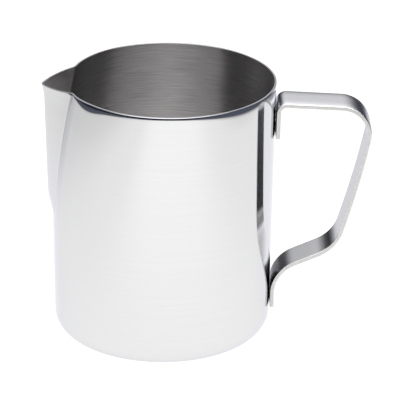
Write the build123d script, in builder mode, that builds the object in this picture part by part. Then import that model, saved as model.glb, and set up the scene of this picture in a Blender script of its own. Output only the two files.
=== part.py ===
from build123d import *
from math import degrees, hypot, pi, radians
import os

# Stainless-steel milk frothing pitcher: a drawn one-piece body with a spout pulled out of its wall, and
# a handle bent from flat bar, whose two feet are spot-welded to the wall.
#
# Millimetres, +Z up. The origin is the centre of the flat base, on the body's axis. The handle points
# to +X and the spout to -X, and the object is the same on both sides of the XZ plane.

# --- Body ------------------------------------------------------------------------------------------
rim_height = 106.5
rim_radius = 45.0  # outside, at the handle's side
base_radius = 43.6  # outside, where the straight wall would meet the base plane
base_corner_radius = 8.0
wall = 0.8
rim_lean = 0.25  # how far the last of the wall leans in under the rim
rim_lean_height = 2.0
cup_top_z = 36.0  # up to here the wall is a plain cone
outline_points = 72  # around one closed outline of the wall

# --- Spout -----------------------------------------------------------------------------------------
spout_root_z = 51.0  # lowest point, where the beak leaves the round wall
spout_shoulder_z = 61.0  # above this, the beak's lower end has reached its full depth
spout_flare_z = 97.0  # above this, the lip curls outwards
shoulder_reach = 1.8  # how far the ridge stands out of the round wall at the shoulder
flare_reach = 2.35  # and where the flare starts
rim_reach = 3.85  # and at the rim's height, before the rim's lean
rim_pinch = 5.8  # how far the rim is drawn in, at the creases beside the beak
pinch_root_z = 42.0  # lowest point of that pinch
pinch_rise_power = 2.1  # how gently it grows from there up to the rim
pinch_fade_power = 1.7  # how fast it fades on the way round to the handle
root_crease_angle = radians(12.5)  # half-angle of the beak, seen from the axis
rim_crease_angle = radians(23.4)
tip_roundness = 0.08  # share of the beak's half-angle over which its ridge is rounded
crease_softness = 1.4  # how far the rounding fills the rim's crease
round_sections_z = [cup_top_z, pinch_root_z]
spout_sections_z = [51.0, 54.0, 57.0, 61.0, 70.0, 80.0, 90.0, 97.0, 101.0, 104.5]
rim_sections_z = [104.5, 105.0, 105.5, 106.0, rim_height]
lip_start_x = 26.0  # the rim is level as far as this, and falls away from here to the tip
lip_tip_x = 48.7
lip_tip_slope = 0.12
tip_drop = 1.9

# --- Handle ----------------------------------------------------------------------------------------
strap_width = 15.0
strap_thickness = 1.8
strap_edge_radius = 0.5
fit_up_gap = 0.05  # between each foot and the wall
upper_foot_end_z = 84.0
lower_foot_end_z = 10.5
top_leg_inner = (45.9, 98.4)  # corners of the strap's centreline, as (x, z)
top_leg_outer = (84.8, 96.6)
grip_middle = (78.2, 64.9)
grip_end = (70.0, 36.9)
lower_leg_z = 25.9
upper_foot_bend = 3.2  # centreline radii of the bends, from the upper foot to the lower one
outer_bend = 11.7
grip_bow = 350.0
lower_bend = 16.7
lower_foot_bend = 14.0

# --- Spot welds ------------------------------------------------------------------------------------
weld_radius = 1.4
weld_length = wall / 2 + fit_up_gap + strap_thickness / 2  # from mid-wall to mid-strap
upper_weld_heights = [87.4, 91.8]
lower_weld_heights = [12.8, 16.2]


def wall_radius(z):
    """Outside radius of the round, slightly tapered wall."""
    return base_radius + (rim_radius - base_radius) * z / rim_height


def share(z, low, high):
    """How far a height lies between two others, from 0 to 1."""
    return min(max((z - low) / (high - low), 0.0), 1.0)


def ridge_reach(z):
    """How far the beak's ridge stands out of the round wall."""
    shoulder = share(z, spout_root_z, spout_shoulder_z)
    climb = share(z, spout_shoulder_z, spout_flare_z)
    flare = share(z, spout_flare_z, rim_height)
    reach = shoulder_reach * shoulder * (2 - shoulder)
    reach += (flare_reach - shoulder_reach) * climb
    return reach + (rim_reach - flare_reach) * flare**2


def outline_radius(angle, z):
    """Outside radius of the wall at an angle from the spout: the pinched wall, or the beak."""
    pinch = rim_pinch * share(z, pinch_root_z, rim_height) ** pinch_rise_power
    beak_height = share(z, spout_root_z, rim_height)
    crease_angle = root_crease_angle + (rim_crease_angle - root_crease_angle) * beak_height
    fade = ((pi - angle) / (pi - crease_angle)) ** pinch_fade_power
    pinched_wall = wall_radius(z) - pinch * fade
    rise = hypot(angle / crease_angle, tip_roundness) - tip_roundness
    full_rise = hypot(1.0, tip_roundness) - tip_roundness
    ridge = wall_radius(z) + ridge_reach(z)
    beak = ridge - (ridge_reach(z) + pinch) * rise / full_rise
    drawn_wall = (pinched_wall + beak + hypot(pinched_wall - beak, crease_softness * beak_height)) / 2
    return drawn_wall - rim_lean * share(z, rim_height - rim_lean_height, rim_height) ** 2


def outline(z, inset):
    """Points of the wall's closed outline at a height, starting from the handle's side."""
    points = []
    for step in range(outline_points):
        turn = 2 * pi * step / outline_points
        radius = outline_radius(abs(pi - turn), z) - inset
        points.append(Vector(radius, 0).rotate(Axis.Z, degrees(turn)))
    return points


def foot_x(z):
    """Distance from the axis to the centreline of a strap foot that lies against the wall."""
    return wall_radius(z) + fit_up_gap + strap_thickness / 2


with BuildPart() as upper_spot_welds:
    for z in upper_weld_heights:
        with BuildSketch(Plane.YZ.offset(wall_radius(z) - wall / 2)):
            with Locations((0, z)):
                Circle(weld_radius)
    extrude(amount=weld_length)

with BuildPart() as lower_spot_welds:
    for z in lower_weld_heights:
        with BuildSketch(Plane.YZ.offset(wall_radius(z) - wall / 2)):
            with Locations((0, z)):
                Circle(weld_radius)
    extrude(amount=weld_length)

with BuildPart() as body_shell:
    # The outside is added, then the same shape one wall thickness in is taken away.
    for inset, mode in [(0.0, Mode.ADD), (wall, Mode.SUBTRACT)]:
        # Round lower cup, turned about the axis.
        with BuildSketch(Plane.XZ):
            with BuildLine():
                Polyline(
                    (0, inset),
                    (base_radius - inset, inset),
                    (wall_radius(cup_top_z) - inset, cup_top_z),
                    (0, cup_top_z),
                    close=True,
                )
            make_face()
            base_corner = vertices().group_by(Axis.Y)[0].sort_by(Axis.X)[-1]
            fillet(base_corner, base_corner_radius - inset)
        revolve(axis=Axis.Z, mode=mode)
        # Upper wall, drawn out from the cup's circle into the spout.
        for z in round_sections_z:
            with BuildSketch(Plane.XY.offset(z)):
                Circle(wall_radius(z) - inset)
        for z in spout_sections_z:
            with BuildSketch(Plane.XY.offset(z)):
                with BuildLine():
                    Spline(*outline(z, inset), periodic=True)
                make_face()
        loft(mode=mode)
        # The last of the wall, leaning in to the rim.
        for z in rim_sections_z:
            with BuildSketch(Plane.XY.offset(z)):
                with BuildLine():
                    Spline(*outline(z, inset), periodic=True)
                make_face()
        loft(mode=mode)
    # Lips: the rim beside the beak is trimmed down to its tip.
    with BuildSketch(Plane.XZ):
        with BuildLine():
            lip = Spline(
                (-lip_start_x, rim_height),
                (-lip_tip_x, rim_height - tip_drop),
                tangents=((-1, 0), (-1, -lip_tip_slope)),
            )
            Polyline(lip @ 1, (-lip_tip_x, rim_height), lip @ 0)
        make_face()
    extrude(amount=rim_radius, both=True, mode=Mode.SUBTRACT)
    # Pockets that the weld nuggets fill.
    add(upper_spot_welds.part, mode=Mode.SUBTRACT)
    add(lower_spot_welds.part, mode=Mode.SUBTRACT)

with BuildPart() as handle_strap:
    with BuildLine():
        path = FilletPolyline(
            (foot_x(upper_foot_end_z), 0, upper_foot_end_z),
            (top_leg_inner[0], 0, top_leg_inner[1]),
            (top_leg_outer[0], 0, top_leg_outer[1]),
            (grip_middle[0], 0, grip_middle[1]),
            (grip_end[0], 0, grip_end[1]),
            (foot_x(lower_leg_z), 0, lower_leg_z),
            (foot_x(lower_foot_end_z), 0, lower_foot_end_z),
            radius=[upper_foot_bend, outer_bend, grip_bow, lower_bend, lower_foot_bend],
        )
    with BuildSketch(Plane(origin=path @ 0, x_dir=(0, 1, 0), z_dir=path % 0)):
        RectangleRounded(strap_width, strap_thickness, strap_edge_radius)
    sweep()
    add(upper_spot_welds.part, mode=Mode.SUBTRACT)
    add(lower_spot_welds.part, mode=Mode.SUBTRACT)

body_shell.part.label = "body_shell"
handle_strap.part.label = "handle_strap"
upper_spot_welds.part.label = "upper_spot_welds"
lower_spot_welds.part.label = "lower_spot_welds"

os.makedirs("parts", exist_ok=True)
export_step(body_shell.part, "parts/body_shell.step")
export_step(handle_strap.part, "parts/handle_strap.step")
export_step(upper_spot_welds.part, "parts/upper_spot_welds.step")
export_step(lower_spot_welds.part, "parts/lower_spot_welds.step")
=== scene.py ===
from math import atan2, cos, degrees, exp, hypot, pi, radians, sin, tan

import bpy
from mathutils import Matrix, Vector


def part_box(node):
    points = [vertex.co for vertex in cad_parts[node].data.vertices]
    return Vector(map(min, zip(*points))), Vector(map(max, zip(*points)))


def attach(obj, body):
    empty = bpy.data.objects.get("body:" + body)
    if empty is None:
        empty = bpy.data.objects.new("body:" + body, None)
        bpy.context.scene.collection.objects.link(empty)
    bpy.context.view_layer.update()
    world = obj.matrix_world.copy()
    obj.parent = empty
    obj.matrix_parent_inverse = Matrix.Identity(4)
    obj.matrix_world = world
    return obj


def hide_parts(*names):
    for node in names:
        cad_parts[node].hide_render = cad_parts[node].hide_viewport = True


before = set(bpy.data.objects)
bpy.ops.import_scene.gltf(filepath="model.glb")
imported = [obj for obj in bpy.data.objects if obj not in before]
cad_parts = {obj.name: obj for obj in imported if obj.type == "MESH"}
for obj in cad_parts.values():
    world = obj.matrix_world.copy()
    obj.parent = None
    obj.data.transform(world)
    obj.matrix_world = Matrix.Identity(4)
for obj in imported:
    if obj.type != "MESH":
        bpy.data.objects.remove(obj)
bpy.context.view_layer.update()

# Milk frothing pitcher. Metres, +Z up, origin at the centre of the base, handle to +X, spout to -X.

body_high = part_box("body_shell")[1]
strap_low, strap_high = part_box("handle_strap")
MM = 0.001
facet_slack = 0.008 * MM  # keeps the smooth curves inside the CAD mesh's facets

# --- Body ------------------------------------------------------------------------------------------
rim_height = body_high.z
rim_radius = 45.0 * MM  # outside, before the rim's lean
base_radius = 43.6 * MM  # outside, where the straight wall would meet the base plane
base_corner_radius = 8.0 * MM
wall = 0.8 * MM
rim_rounding = 0.3 * MM
rim_lean = 0.12 * MM  # how far the last of the wall leans in under the rim
rim_lean_height = 1.1 * MM
rim_hollows = [  # where the rim leans in more: angle from the spout, spread, lean and height
    (radians(0), radians(14), 0.4 * MM, 1.0 * MM),
    (radians(43), radians(12), 0.3 * MM, 3.4 * MM),
    (radians(138), radians(22), 0.26 * MM, 3.0 * MM),
]

# --- Spout -----------------------------------------------------------------------------------------
spout_root_z = 51.0 * MM  # lowest point, where the beak leaves the round wall
spout_shoulder_z = 61.0 * MM  # above this, the beak's lower end has reached its full depth
spout_flare_z = 97.0 * MM  # above this, the lip curls outwards
shoulder_reach = 1.8 * MM  # how far the ridge stands out of the round wall at the shoulder
flare_reach = 2.35 * MM  # and where the flare starts
rim_reach = 3.85 * MM  # and at the rim's height, before the rim's lean
rim_pinch = 5.8 * MM  # how far the rim is drawn in, at the creases beside the beak
pinch_root_z = 42.0 * MM  # lowest point of that pinch
pinch_rise_power = 2.1  # how gently it grows from there up to the rim
pinch_fade_power = 1.7  # how fast it fades on the way round to the handle
root_crease_angle = radians(12.5)  # half-angle of the beak, seen from the axis
rim_crease_angle = radians(23.4)
tip_roundness = 0.08  # share of the beak's half-angle over which its ridge is rounded
crease_softness = 0.5 * MM  # how far the rounding fills the rim's crease
crease_groove = 0.5 * MM  # a little more pinch, close beside the crease
groove_spread = radians(6)
lip_start_x = 26.0 * MM  # the rim is level as far as this, and falls away from here to the tip
lip_tip_x = 48.7 * MM
lip_tip_slope = 0.12
tip_drop = 1.9 * MM

# --- Body mesh -------------------------------------------------------------------------------------
half_columns = 200
spout_crowding = 1.35  # above 1, columns stand closer together towards the spout
flat_steps = 12
corner_steps = 16
wall_steps = 110
rim_steps = 6

# --- Handle ----------------------------------------------------------------------------------------
strap_width = strap_high.y - strap_low.y
strap_thickness = 1.8 * MM
strap_edge_radius = 0.3 * MM
strap_inner_edge_radius = 0.12 * MM  # on the side towards the fingers
least_edge_radius = 0.05 * MM
strap_crown = 0.14 * MM  # how far the strap's outer face falls away at its edges
strap_end_rounding = 0.3 * MM
fit_up_gap = 0.05 * MM  # between each foot and the wall
upper_foot_end_z = 84.0 * MM
top_leg_inner = (45.9 * MM, 98.4 * MM)  # corners of the strap's centreline, as (x, z)
top_leg_outer = (84.8 * MM, 96.6 * MM)
grip_middle = (78.2 * MM, 64.9 * MM)
grip_end = (70.0 * MM, 36.9 * MM)
lower_leg_z = 25.9 * MM
lower_foot_end_z = strap_low.z
upper_foot_bend = 3.2 * MM  # centreline radii of the bends, from the upper foot to the lower one
outer_bend = 11.7 * MM
grip_bow = 350 * MM
lower_bend = 16.7 * MM
lower_foot_bend = 14.0 * MM

# --- Handle mesh -----------------------------------------------------------------------------------
straight_step = 1 * MM  # between stations, about
bend_step = radians(3)
least_bend_steps = 6
edge_steps = 6
half_face_steps = 12
end_steps = 4
rounding_error = 1e-9  # for telling which points lie on the strap's cut edges
grain_length = 100 * MM  # the length of strap to one unit of its grain map's u

# --- Steel -----------------------------------------------------------------------------------------
bump_depth = 0.02 * MM
brush_turn = 0.25  # a quarter turn, so that highlights spread across the brushed lines
noise_low, noise_high = 0.3, 0.7  # where most of the noise's values lie
crease_mark = 0.2  # the tone map's u at the spout's crease
tone_degrees = 100  # degrees round the wall to one unit of the tone map's u

# Tones: painted brightness of the steel along the tone map's u. They aren't wear. They stand in for
# reflections that this studio doesn't give, they are fixed to the surface, and 1.0 leaves it plain.
# On the wall, 0.8 is 60 degrees past the spout's crease.
outside_tones = [
    (0.0, 0.95),
    (0.18, 0.93),
    (0.195, 1.0),
    (crease_mark, 0.6),
    (0.24, 0.66),
    (0.29, 0.86),
    (0.42, 0.94),
    (0.6, 1.0),
]
inside_tones = [
    (0.0, 1.1),
    (0.19, 1.1),
    (crease_mark, 0.55),
    (0.28, 0.6),
    (0.42, 0.85),
    (0.6, 1.0),
]
# On the strap's inner face, u is the share of its length from the upper foot's end.
strap_tones = [
    (0.0, 1.0),
    (0.685, 1.0),
    (0.7, 0.8),
    (0.71, 0.45),
    (0.73, 0.42),
    (0.75, 1.2),
    (0.77, 1.0),
    (0.79, 0.92),
    (0.85, 0.9),
    (0.868, 0.9),
    (0.874, 1.0),
    (0.88, 0.9),
    (0.886, 0.25),
    (0.9, 0.12),
    (0.92, 0.15),
    (0.94, 0.6),
    (1.0, 0.9),
]
tone_start, tone_full = 0.4, 0.85  # the tone map's v where the tones begin, and where they are whole

# --- Studio ----------------------------------------------------------------------------------------
floor_half = 4.0
floor_glow = 2.6
floor_diffuse = 0.4  # how much of its tone the floor also shows in the studio's light
floor_dusk = (0.032, 0.036, 0.048)
floor_bright_centre, floor_bright_scale = (0.03, -0.5), (1.2, 0.5)
floor_edge_centre, floor_edge_scale = (-0.15, 0.0), (2.0, 1.0)
floor_edge_start, floor_edge_end = 0.85, 1.15
floor_tones = [
    (0.0, 0.41),
    (0.14, 0.41),
    (0.2, 0.4),
    (0.24, 0.382),
    (0.27, 0.37),
    (0.3, 0.36),
    (0.35, 0.356),
    (0.45, 0.348),
    (0.6, 0.3),
    (1.0, 0.26),
]
# each light fades in between two heights, and between two directions from -1 behind to 1 in front
front_light, front_heights, front_directions = 3.6, (0.36, 0.44), (0.36, 0.42)
back_light, back_heights, back_directions = 1.0, (0.16, 0.39), (-0.2, -0.5)
band_rise, band_fall, band_directions = (0.39, 0.58), (0.66, 0.8), (-0.8, -0.95)
top_light, top_heights = 1.0, (0.80, 0.9)
horizon_colour, horizon_light = (0.75, 0.8, 1.0), 0.035

# --- Camera ----------------------------------------------------------------------------------------
camera_azimuth = radians(-0.8)
camera_elevation = radians(22.93)
camera_roll = radians(0.65)
camera_distance = 1.2
camera_aim = Vector((15.1 * MM, -0.2 * MM, 54.6 * MM))
camera_lens = 267.9
camera_sensor = 36


def share(value, low, high):
    """How far a value lies between two others, from 0 to 1."""
    return min(max((value - low) / (high - low), 0.0), 1.0)


# --- Body shape ------------------------------------------------------------------------------------
def wall_radius(z):
    """Outside radius of the round, slightly tapered wall."""
    return base_radius + (rim_radius - base_radius) * z / rim_height


def ridge_reach(z):
    """How far the beak's ridge stands out of the round wall."""
    shoulder = share(z, spout_root_z, spout_shoulder_z)
    climb = share(z, spout_shoulder_z, spout_flare_z)
    flare = share(z, spout_flare_z, rim_height)
    reach = shoulder_reach * shoulder * (2 - shoulder)
    reach += (flare_reach - shoulder_reach) * climb
    return reach + (rim_reach - flare_reach) * flare**2


def crease_angle_at(z):
    """Angle from the spout to the crease between the beak and the pinched wall."""
    beak_height = share(z, spout_root_z, rim_height)
    return root_crease_angle + (rim_crease_angle - root_crease_angle) * beak_height


def outline_radius(angle, z):
    """Outside radius of the wall at an angle from the spout: the pinched wall, or the beak."""
    pinch = rim_pinch * share(z, pinch_root_z, rim_height) ** pinch_rise_power
    beak_height = share(z, spout_root_z, rim_height)
    crease_angle = crease_angle_at(z)
    fade = ((pi - angle) / (pi - crease_angle)) ** pinch_fade_power
    past_crease = max(angle - crease_angle, 0.0)
    groove = crease_groove * beak_height**0.5 * exp(-past_crease / groove_spread)
    pinched_wall = wall_radius(z) - pinch * fade - groove
    rise = hypot(angle / crease_angle, tip_roundness) - tip_roundness
    full_rise = hypot(1.0, tip_roundness) - tip_roundness
    ridge = wall_radius(z) + ridge_reach(z)
    beak = ridge - (ridge_reach(z) + pinch + groove) * rise / full_rise
    crease = hypot(pinched_wall - beak, crease_softness * beak_height)
    drawn_wall = (pinched_wall + beak + crease) / 2
    lean, height = rim_lean, rim_lean_height
    for middle, spread, hollow_lean, hollow_height in rim_hollows:
        hollow = exp(-(((angle - middle) / spread) ** 2))
        lean += (hollow_lean - rim_lean) * hollow
        height += (hollow_height - rim_lean_height) * hollow
    return drawn_wall - lean * share(z, rim_height - height, rim_height) ** 2


def rim_z(angle):
    """Height of the rim at an angle from the spout: level, then down the lip to the tip."""
    x = outline_radius(angle, rim_height) * cos(angle)
    lip = share(x, lip_start_x, lip_tip_x)
    end_slope = lip_tip_slope * (lip_tip_x - lip_start_x)
    return rim_height - (3 * tip_drop - end_slope) * lip**2 - (end_slope - 2 * tip_drop) * lip**3


# --- Meshes ----------------------------------------------------------------------------------------
def mesh_object(name, points, faces, uvs, tones, materials, slots):
    """A smooth-shaded mesh object.

    uvs holds the grain map's (u, v) for each corner of each face, tones the tone map's for each point,
    and slots the index of each face's material.
    """
    mesh = bpy.data.meshes.new(name)
    mesh.from_pydata(points, [], faces)
    layer = mesh.uv_layers.new(name="tone")
    for corner, loop in zip(layer.data, mesh.loops):
        corner.uv = tones[loop.vertex_index]
    layer = mesh.uv_layers.new(name="grain")
    for corner, uv in zip(layer.data, uvs):
        corner.uv = uv
    mesh.shade_smooth()
    for material in materials:
        mesh.materials.append(material)
    mesh.polygons.foreach_set("material_index", slots)
    mesh.validate()
    piece = bpy.data.objects.new(name, mesh)
    bpy.context.scene.collection.objects.link(piece)
    return piece


# --- Materials -------------------------------------------------------------------------------------
def colour_ramp(nodes, stops):
    """A grey ramp node through stops of (position, brightness)."""
    node = nodes.new("ShaderNodeValToRGB")
    ramp = node.color_ramp.elements
    while len(ramp) < len(stops):
        ramp.new(0.5)
    for element, (position, value) in zip(ramp, stops):
        element.position = position
        element.color = (value, value, value, 1)
    return node


def toned(nodes, links, colour, stops, lift):
    """A colour times its tones along the tone map's u where the map's v is high, else times lift."""
    place = nodes.new("ShaderNodeUVMap")
    place.uv_map = "tone"
    parts = nodes.new("ShaderNodeSeparateXYZ")
    links.new(place.outputs["UV"], parts.inputs["Vector"])
    across = colour_ramp(nodes, stops)
    links.new(parts.outputs["X"], across.inputs["Fac"])
    rise = nodes.new("ShaderNodeMapRange")
    rise.interpolation_type = "SMOOTHSTEP"
    rise.inputs["From Min"].default_value = tone_start
    rise.inputs["From Max"].default_value = tone_full
    links.new(parts.outputs["Y"], rise.inputs["Value"])
    painted = nodes.new("ShaderNodeVectorMath")
    painted.operation = "MULTIPLY"
    links.new(colour, painted.inputs[0])
    links.new(across.outputs["Color"], painted.inputs[1])
    lifted = nodes.new("ShaderNodeVectorMath")
    lifted.operation = "SCALE"
    lifted.inputs["Scale"].default_value = lift
    links.new(colour, lifted.inputs[0])
    mix = nodes.new("ShaderNodeMix")
    mix.data_type = "VECTOR"
    links.new(rise.outputs["Result"], mix.inputs["Factor"])
    links.new(lifted.outputs["Vector"], mix.inputs["A"])
    links.new(painted.outputs["Vector"], mix.inputs["B"])
    return mix.outputs["Result"]


def steel(name, base, edge, roughness, anisotropy, grain, tones=None, lift=1.0):
    """Stainless steel, brushed along the grain map's u.

    grain is (bump strength, brightness spread, waves along u, waves along v). tones, if given, is the
    brightness at stops of the tone map's u, and lift is the brightness where the map's v is low.
    """
    bump_strength, spread, waves_u, waves_v = grain
    material = bpy.data.materials.new(name)
    material.use_nodes = True
    nodes, links = material.node_tree.nodes, material.node_tree.links
    shader = nodes["Principled BSDF"]
    shader.inputs["Metallic"].default_value = 1.0
    shader.inputs["Specular Tint"].default_value = (*edge, 1)
    shader.inputs["Roughness"].default_value = roughness
    shader.inputs["Anisotropic"].default_value = anisotropy
    shader.inputs["Anisotropic Rotation"].default_value = brush_turn
    tangent = nodes.new("ShaderNodeTangent")
    tangent.direction_type = "UV_MAP"
    tangent.uv_map = "grain"
    links.new(tangent.outputs["Tangent"], shader.inputs["Tangent"])
    coordinates = nodes.new("ShaderNodeUVMap")
    coordinates.uv_map = "grain"
    stretch = nodes.new("ShaderNodeMapping")
    stretch.inputs["Scale"].default_value = (waves_u, waves_v, 1)
    links.new(coordinates.outputs["UV"], stretch.inputs["Vector"])
    streaks = nodes.new("ShaderNodeTexNoise")
    streaks.inputs["Scale"].default_value = 1.0
    streaks.inputs["Detail"].default_value = 5.0
    streaks.inputs["Roughness"].default_value = 0.7
    links.new(stretch.outputs["Vector"], streaks.inputs["Vector"])
    shade = nodes.new("ShaderNodeMapRange")
    shade.inputs["From Min"].default_value = noise_low
    shade.inputs["From Max"].default_value = noise_high
    shade.inputs["To Min"].default_value = 1 - spread
    shade.inputs["To Max"].default_value = 1 + spread
    links.new(streaks.outputs["Fac"], shade.inputs["Value"])
    tint = nodes.new("ShaderNodeVectorMath")
    tint.operation = "SCALE"
    tint.inputs[0].default_value = base
    links.new(shade.outputs["Result"], tint.inputs["Scale"])
    colour = tint.outputs["Vector"]
    if tones:
        colour = toned(nodes, links, colour, tones, lift)
    links.new(colour, shader.inputs["Base Color"])
    bump = nodes.new("ShaderNodeBump")
    bump.inputs["Strength"].default_value = bump_strength
    bump.inputs["Distance"].default_value = bump_depth
    links.new(streaks.outputs["Fac"], bump.inputs["Height"])
    links.new(bump.outputs["Normal"], shader.inputs["Normal"])
    return material


rim_edge_steel = steel(
    "rim_edge_steel",
    base=(0.42, 0.42, 0.44),
    edge=(0.8, 0.8, 0.85),
    roughness=0.3,
    anisotropy=0.0,
    grain=(0.0, 0.02, 40, 40),
)
outside_steel = steel(
    "polished_steel",
    base=(0.67, 0.67, 0.67),
    edge=(0.9, 0.9, 0.95),
    roughness=0.07,
    anisotropy=0.3,
    grain=(0.0, 0.015, 3, 300),
    tones=outside_tones,
)
inside_steel = steel(
    "brushed_inside_steel",
    base=(0.455, 0.445, 0.445),
    edge=(1, 1, 1),
    roughness=0.34,
    anisotropy=0.96,
    grain=(0.6, 0.3, 16, 700),
    tones=inside_tones,
    # lift is painted light: the lower inside wall is shown 1.35 times as bright, fixed to the surface
    lift=1.35,
)
strap_steel = steel(
    "strap_steel",
    base=(0.70, 0.70, 0.71),
    edge=(0.7, 0.7, 0.74),
    roughness=0.2,
    anisotropy=0.3,
    grain=(0.02, 0.03, 3, 300),
    tones=strap_tones,
)
cut_edge_steel = steel(
    "cut_edge_steel",
    base=(0.57, 0.56, 0.545),
    edge=(1, 1, 1),
    roughness=0.36,
    anisotropy=0.3,
    grain=(0.3, 0.14, 90, 90),
)
weld_steel = steel(
    "weld_steel",
    base=(0.5, 0.49, 0.48),
    edge=(1, 1, 1),
    roughness=0.5,
    anisotropy=0.0,
    grain=(0.2, 0.05, 200, 200),
)


# --- Body shell ------------------------------------------------------------------------------------
def body_rings():
    """Rings from the underside's centre, out, up, over the rim, down and in to the inside's centre.

    Each is (kind, along, inset): a flat ring at a share of the base radius, a corner ring at an angle
    of the corner's arc, a wall ring at a share of the wall's height, or a rim ring at a drop below it.
    """
    flat = [n / flat_steps for n in range(1, flat_steps)]
    corner = [pi / 2 * n / corner_steps for n in range(corner_steps + 1)]
    up = [n / wall_steps for n in range(1, wall_steps)]
    turn = [pi / 2 * n / rim_steps for n in range(rim_steps + 1)]
    rings = [("flat", n, 0.0) for n in flat]
    rings += [("corner", n, 0.0) for n in corner]
    rings += [("wall", n, 0.0) for n in up]
    rings += [("rim", rim_rounding * (1 - sin(n)), rim_rounding * (1 - cos(n))) for n in turn]
    rings += [("rim", rim_rounding * (1 - cos(n)), wall - rim_rounding * (1 - sin(n))) for n in turn]
    rings += [("wall", n, wall) for n in reversed(up)]
    rings += [("corner", n, wall) for n in reversed(corner)]
    rings += [("flat", n, wall) for n in reversed(flat)]
    return rings


def ring_point(kind, along, inset, turn):
    """One point of a ring, at an angle round from the handle's side."""
    angle = abs(pi - turn)
    corner_radius = base_corner_radius - inset
    flat_radius = base_radius - base_corner_radius
    if kind == "flat":
        radius, z = flat_radius * along, inset
    elif kind == "corner":
        z = base_corner_radius - corner_radius * cos(along)
        lean = (wall_radius(z) - base_radius) * sin(along)
        radius = flat_radius + corner_radius * sin(along) + lean
    elif kind == "wall":
        z = base_corner_radius + (rim_z(angle) - rim_rounding - base_corner_radius) * along
        radius = outline_radius(angle, z) - inset
    else:
        z = rim_z(angle) - along
        radius = outline_radius(angle, z) - inset
    radius -= facet_slack
    return (radius * cos(turn), radius * sin(turn), z)


def body_tone(point):
    """The tone map's (u, v): how far past the spout's crease a point lies, and its height."""
    angle = pi - abs(atan2(point[1], point[0]))
    past_crease = degrees(angle - crease_angle_at(point[2]))
    return (share(past_crease / tone_degrees + crease_mark, 0, 1), point[2] / rim_height)


def build_body():
    half_turns = [pi * (n / half_columns) ** spout_crowding for n in range(half_columns + 1)]
    turns = [pi - a for a in reversed(half_turns)] + [pi + a for a in half_turns[1:-1]]
    count = len(turns)
    shares = [turn / (2 * pi) for turn in turns] + [1.0]
    rings = body_rings()
    points = [(0, 0, 0)]
    for kind, along, inset in rings:
        points += [ring_point(kind, along, inset, turn) for turn in turns]
    points.append((0, 0, wall))

    outside, inside, rim_edge = 0, 1, 2
    rim_rings = [n for n, ring in enumerate(rings) if ring[0] == "rim"]
    faces, uvs, slots = [], [], []
    for n in range(len(rings) - 1):
        v0, v1 = n / len(rings), (n + 1) / len(rings)
        if n < rim_rings[0]:
            slot = outside
        elif n < rim_rings[-1]:
            slot = rim_edge
        else:
            slot = inside
        for m in range(count):
            a, b = 1 + n * count + m, 1 + n * count + (m + 1) % count
            faces.append((a, b, b + count, a + count))
            u0, u1 = shares[m], shares[m + 1]
            uvs += [(u0, v0), (u1, v0), (u1, v1), (u0, v1)]
            slots.append(slot)
    last = 1 + (len(rings) - 1) * count
    for m in range(count):
        faces.append((0, 1 + (m + 1) % count, 1 + m))
        uvs += [(shares[m], 0)] * 3
        slots.append(outside)
        faces.append((len(points) - 1, last + m, last + (m + 1) % count))
        uvs += [(shares[m], 1)] * 3
        slots.append(inside)

    tones = [body_tone(point) for point in points]
    materials = [outside_steel, inside_steel, rim_edge_steel]
    return mesh_object("pitcher_body", points, faces, uvs, tones, materials, slots)


body = build_body()
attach(body, "root")
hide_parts("body_shell")


# --- Handle strap ----------------------------------------------------------------------------------
def foot_x(z):
    """Where the centreline of a strap foot stands beside the wall."""
    return wall_radius(z) + fit_up_gap + strap_thickness / 2


def straight(a, b):
    """Stations along a straight run, about a millimetre apart, without its end."""
    steps = max(1, round((b - a).length / straight_step))
    direction = (b - a).normalized()
    return [(a.lerp(b, n / steps), direction) for n in range(steps)]


def strap_path():
    """Stations along the strap's centreline: (point, direction), with the bends as true arcs."""
    corners = [
        (foot_x(upper_foot_end_z), upper_foot_end_z),
        top_leg_inner,
        top_leg_outer,
        grip_middle,
        grip_end,
        (foot_x(lower_leg_z), lower_leg_z),
        (foot_x(lower_foot_end_z), lower_foot_end_z),
    ]
    corners = [Vector((x, 0, z)) for x, z in corners]
    bend_radii = [upper_foot_bend, outer_bend, grip_bow, lower_bend, lower_foot_bend]
    stations = []
    here = corners[0]
    for radius, corner, after in zip(bend_radii, corners[1:], corners[2:]):
        into = (corner - here).normalized()
        out = (after - corner).normalized()
        bend = into.angle(out)
        side = 1 if into.cross(out).y > 0 else -1
        start = corner - into * radius * tan(bend / 2)
        steps = max(least_bend_steps, round(bend / bend_step))
        stations += straight(here, start)
        across = Vector((into.z, 0, -into.x)) * side
        centre = start + across * radius
        for m in range(steps):
            turned = Matrix.Rotation(side * bend * m / steps, 3, "Y")
            stations.append((centre + turned @ (start - centre), turned @ into))
        here = corner + out * radius * tan(bend / 2)
    end = corners[-1]
    stations += straight(here, end)
    stations.append((end, (end - here).normalized()))
    return stations


def strap_rings():
    """Rings along the strap, as (centre, direction, shrink), with its two ends rounded."""
    stations = strap_path()
    first, first_direction = stations[0]
    last, last_direction = stations[-1]
    arc = [pi / 2 * n / end_steps for n in range(end_steps + 1)]
    ends = [(strap_end_rounding * (1 - cos(a)), strap_end_rounding * (1 - sin(a))) for a in arc]
    rings = [(first + first_direction * back, first_direction, shrink) for back, shrink in ends]
    rings += [(point, direction, 0.0) for point, direction in stations[1:-1]]
    rings += [(last - last_direction * back, last_direction, shrink) for back, shrink in reversed(ends)]
    return rings


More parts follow.
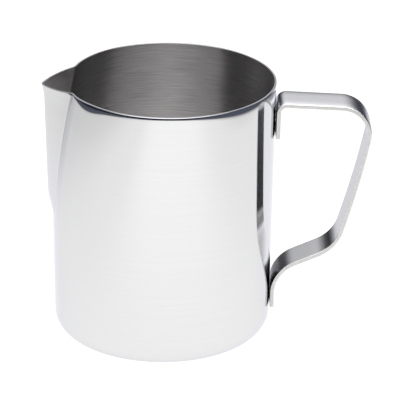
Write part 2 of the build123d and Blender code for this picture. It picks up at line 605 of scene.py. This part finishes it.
def strap_section(shrink):
    """Points round the strap's section, as (across the width, through the thickness).

    The face towards the fingers, on the thickness's positive side, is flat; the other is crowned.
    """
    half_w = strap_width / 2 - shrink
    half_t = strap_thickness / 2 - shrink - facet_slack
    section = []
    for quarter, (sx, sy) in enumerate([(1, 1), (-1, 1), (-1, -1), (1, -1)]):
        crown = strap_crown if sy < 0 else 0.0
        edge_radius = strap_edge_radius if sy < 0 else strap_inner_edge_radius
        r = max(edge_radius - shrink, least_edge_radius)
        for n in range(edge_steps + 1):
            a = pi / 2 * (quarter + n / edge_steps)
            section.append((sx * (half_w - r) + r * cos(a), sy * (half_t - crown - r) + r * sin(a)))
        if quarter in (0, 2):
            for n in range(1, 2 * half_face_steps):
                along = 1 - n / half_face_steps
                section.append((sx * (half_w - r) * along, sy * (half_t - crown * along**4)))
    return section


def build_strap():
    rings = strap_rings()
    lengths = [0.0]
    for a, b in zip(rings, rings[1:]):
        lengths.append(lengths[-1] + (b[0] - a[0]).length)
    points, tones = [], []
    for (centre, direction, shrink), length in zip(rings, lengths):
        normal = Vector((direction.z, 0, -direction.x))
        for w, t in strap_section(shrink):
            points.append(centre + Vector((0, w, 0)) + normal * t)
            tones.append((length / lengths[-1], 1.0 if t > 0 else 0.0))

    face_steel, edge_steel = 0, 1
    section = strap_section(0)
    count = len(section)
    edge_w = strap_width / 2 - rounding_error
    on_edge = [abs(w) > edge_w for w, t in section]
    cut_edge = [a and b for a, b in zip(on_edge, on_edge[1:] + on_edge[:1])]
    faces, uvs, slots = [], [], []
    for n in range(len(rings) - 1):
        u0, u1 = lengths[n] / grain_length, lengths[n + 1] / grain_length
        for m in range(count):
            a, b = n * count + m, n * count + (m + 1) % count
            faces.append((a, b, b + count, a + count))
            v0, v1 = m / count, (m + 1) / count
            uvs += [(u0, v0), (u0, v1), (u1, v1), (u1, v0)]
            slots.append(edge_steel if cut_edge[m] else face_steel)
    faces.append(tuple(reversed(range(count))))
    uvs += [(0, 0)] * count
    slots.append(face_steel)
    faces.append(tuple(range((len(rings) - 1) * count, len(rings) * count)))
    uvs += [(1, 0)] * count
    slots.append(face_steel)
    materials = [strap_steel, cut_edge_steel]
    return mesh_object("pitcher_handle", points, faces, uvs, tones, materials, slots)


strap = build_strap()
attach(strap, "root")
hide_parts("handle_strap")

for name in ("upper_spot_welds", "lower_spot_welds"):
    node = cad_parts[name]
    node.data.materials.clear()
    node.data.materials.append(weld_steel)


# --- Studio ----------------------------------------------------------------------------------------
def floor_material():
    """A pale glowing floor, whitest round the object and a little in front of it, dark far away."""
    material = bpy.data.materials.new("pale_floor")
    material.use_nodes = True
    nodes, links = material.node_tree.nodes, material.node_tree.links
    shader = nodes["Principled BSDF"]
    shader.inputs["Roughness"].default_value = 0.9
    shader.inputs["Specular IOR Level"].default_value = 0.0
    place = nodes.new("ShaderNodeTexCoord")

    def ellipse(centre, scale):
        """Distance from a centre, with x and y scaled."""
        shift = nodes.new("ShaderNodeMapping")
        shift.inputs["Location"].default_value = (-centre[0] * scale[0], -centre[1] * scale[1], 0)
        shift.inputs["Scale"].default_value = (scale[0], scale[1], 1)
        length = nodes.new("ShaderNodeVectorMath")
        length.operation = "LENGTH"
        links.new(place.outputs["Object"], shift.inputs["Vector"])
        links.new(shift.outputs["Vector"], length.inputs[0])
        return length.outputs["Value"]

    fade = colour_ramp(nodes, floor_tones)
    fade.color_ramp.interpolation = "B_SPLINE"
    links.new(ellipse(floor_bright_centre, floor_bright_scale), fade.inputs["Fac"])
    edge = nodes.new("ShaderNodeMapRange")
    edge.interpolation_type = "SMOOTHSTEP"
    edge.inputs["From Min"].default_value = floor_edge_start
    edge.inputs["From Max"].default_value = floor_edge_end
    edge.inputs["To Min"].default_value = 1.0
    edge.inputs["To Max"].default_value = 0.0
    links.new(ellipse(floor_edge_centre, floor_edge_scale), edge.inputs["Value"])
    tone = nodes.new("ShaderNodeVectorMath")
    tone.operation = "SCALE"
    links.new(fade.outputs["Color"], tone.inputs[0])
    links.new(edge.outputs["Result"], tone.inputs["Scale"])
    dusk = nodes.new("ShaderNodeVectorMath")
    dusk.operation = "MAXIMUM"
    dusk.inputs[1].default_value = floor_dusk
    links.new(tone.outputs["Vector"], dusk.inputs[0])
    soft = nodes.new("ShaderNodeVectorMath")
    soft.operation = "SCALE"
    soft.inputs["Scale"].default_value = floor_diffuse
    links.new(dusk.outputs["Vector"], soft.inputs[0])
    links.new(soft.outputs["Vector"], shader.inputs["Base Color"])
    links.new(dusk.outputs["Vector"], shader.inputs["Emission Color"])
    shader.inputs["Emission Strength"].default_value = floor_glow
    return material


def make_floor():
    signs = [(-1, -1), (1, -1), (1, 1), (-1, 1)]
    mesh = bpy.data.meshes.new("floor")
    mesh.from_pydata([(x * floor_half, y * floor_half, 0) for x, y in signs], [], [(0, 1, 2, 3)])
    mesh.materials.append(floor_material())
    floor = bpy.data.objects.new("floor", mesh)
    bpy.context.scene.collection.objects.link(floor)


def make_world():
    """A studio as seen from the object: dark at the horizon, with large soft lights.

    They are in front, behind with a brighter band, and overhead. Heights are sines of elevation.
    """
    world = bpy.data.worlds.new("studio")
    bpy.context.scene.world = world
    world.use_nodes = True
    nodes, links = world.node_tree.nodes, world.node_tree.links
    background = nodes["Background"]
    place = nodes.new("ShaderNodeTexCoord")
    parts = nodes.new("ShaderNodeSeparateXYZ")
    links.new(place.outputs["Generated"], parts.inputs["Vector"])

    def step(source, low, high):
        """From 0 at low to 1 at high, smoothly."""
        ramp = nodes.new("ShaderNodeMapRange")
        ramp.interpolation_type = "SMOOTHSTEP"
        ramp.inputs["From Min"].default_value = low
        ramp.inputs["From Max"].default_value = high
        links.new(source, ramp.inputs["Value"])
        return ramp.outputs["Result"]

    def combine(operation, *values):
        """A maths node of numbers and sockets."""
        node = nodes.new("ShaderNodeMath")
        node.operation = operation
        for socket, value in zip(node.inputs, values):
            if isinstance(value, float):
                socket.default_value = value
            else:
                links.new(value, socket)
        return node.outputs[0]

    x, y, z = parts.outputs["X"], parts.outputs["Y"], parts.outputs["Z"]
    level = combine("SQRT", combine("ADD", combine("MULTIPLY", x, x), combine("MULTIPLY", y, y)))
    frontness = combine("DIVIDE", combine("MULTIPLY", y, -1.0), combine("MAXIMUM", level, 0.001))
    front = combine("MULTIPLY", step(z, *front_heights), step(frontness, *front_directions))
    front = combine("MULTIPLY", front, front_light)
    band = combine("SUBTRACT", step(z, *band_rise), step(z, *band_fall))
    band = combine("MULTIPLY", band, step(frontness, *band_directions))
    back = combine("ADD", step(z, *back_heights), band)
    back = combine("MULTIPLY", back, step(frontness, *back_directions))
    back = combine("MULTIPLY", back, back_light)
    top = combine("MULTIPLY", step(z, *top_heights), top_light)
    light = combine("MAXIMUM", combine("ADD", front, back), top)
    links.new(light, background.inputs["Strength"])
    background.inputs["Color"].default_value = (1.0, 1.0, 1.0, 1)
    dark = nodes.new("ShaderNodeBackground")
    dark.inputs["Color"].default_value = (*horizon_colour, 1)
    dark.inputs["Strength"].default_value = horizon_light
    both = nodes.new("ShaderNodeAddShader")
    links.new(background.outputs["Background"], both.inputs[0])
    links.new(dark.outputs["Background"], both.inputs[1])
    links.new(both.outputs["Shader"], nodes["World Output"].inputs["Surface"])


def make_camera():
    """A long lens from in front and above, turned a little about its axis."""
    level = cos(camera_elevation)
    back = Vector((sin(camera_azimuth) * level, -cos(camera_azimuth) * level, sin(camera_elevation)))
    right = Vector((cos(camera_azimuth), sin(camera_azimuth), 0))
    up = back.cross(right)
    rolled_right = right * cos(camera_roll) + up * sin(camera_roll)
    rolled_up = back.cross(rolled_right)
    data = bpy.data.cameras.new("camera")
    data.sensor_width = camera_sensor
    data.lens = camera_lens
    data.clip_start, data.clip_end = 0.05, 20
    camera = bpy.data.objects.new("camera", data)
    bpy.context.scene.collection.objects.link(camera)
    turn = Matrix((rolled_right, rolled_up, back)).transposed().to_4x4()
    camera.matrix_world = Matrix.Translation(camera_aim + back * camera_distance) @ turn
    bpy.context.scene.camera = camera


make_floor()
make_world()
make_camera()
bpy.context.scene.view_settings.view_transform = "Standard"
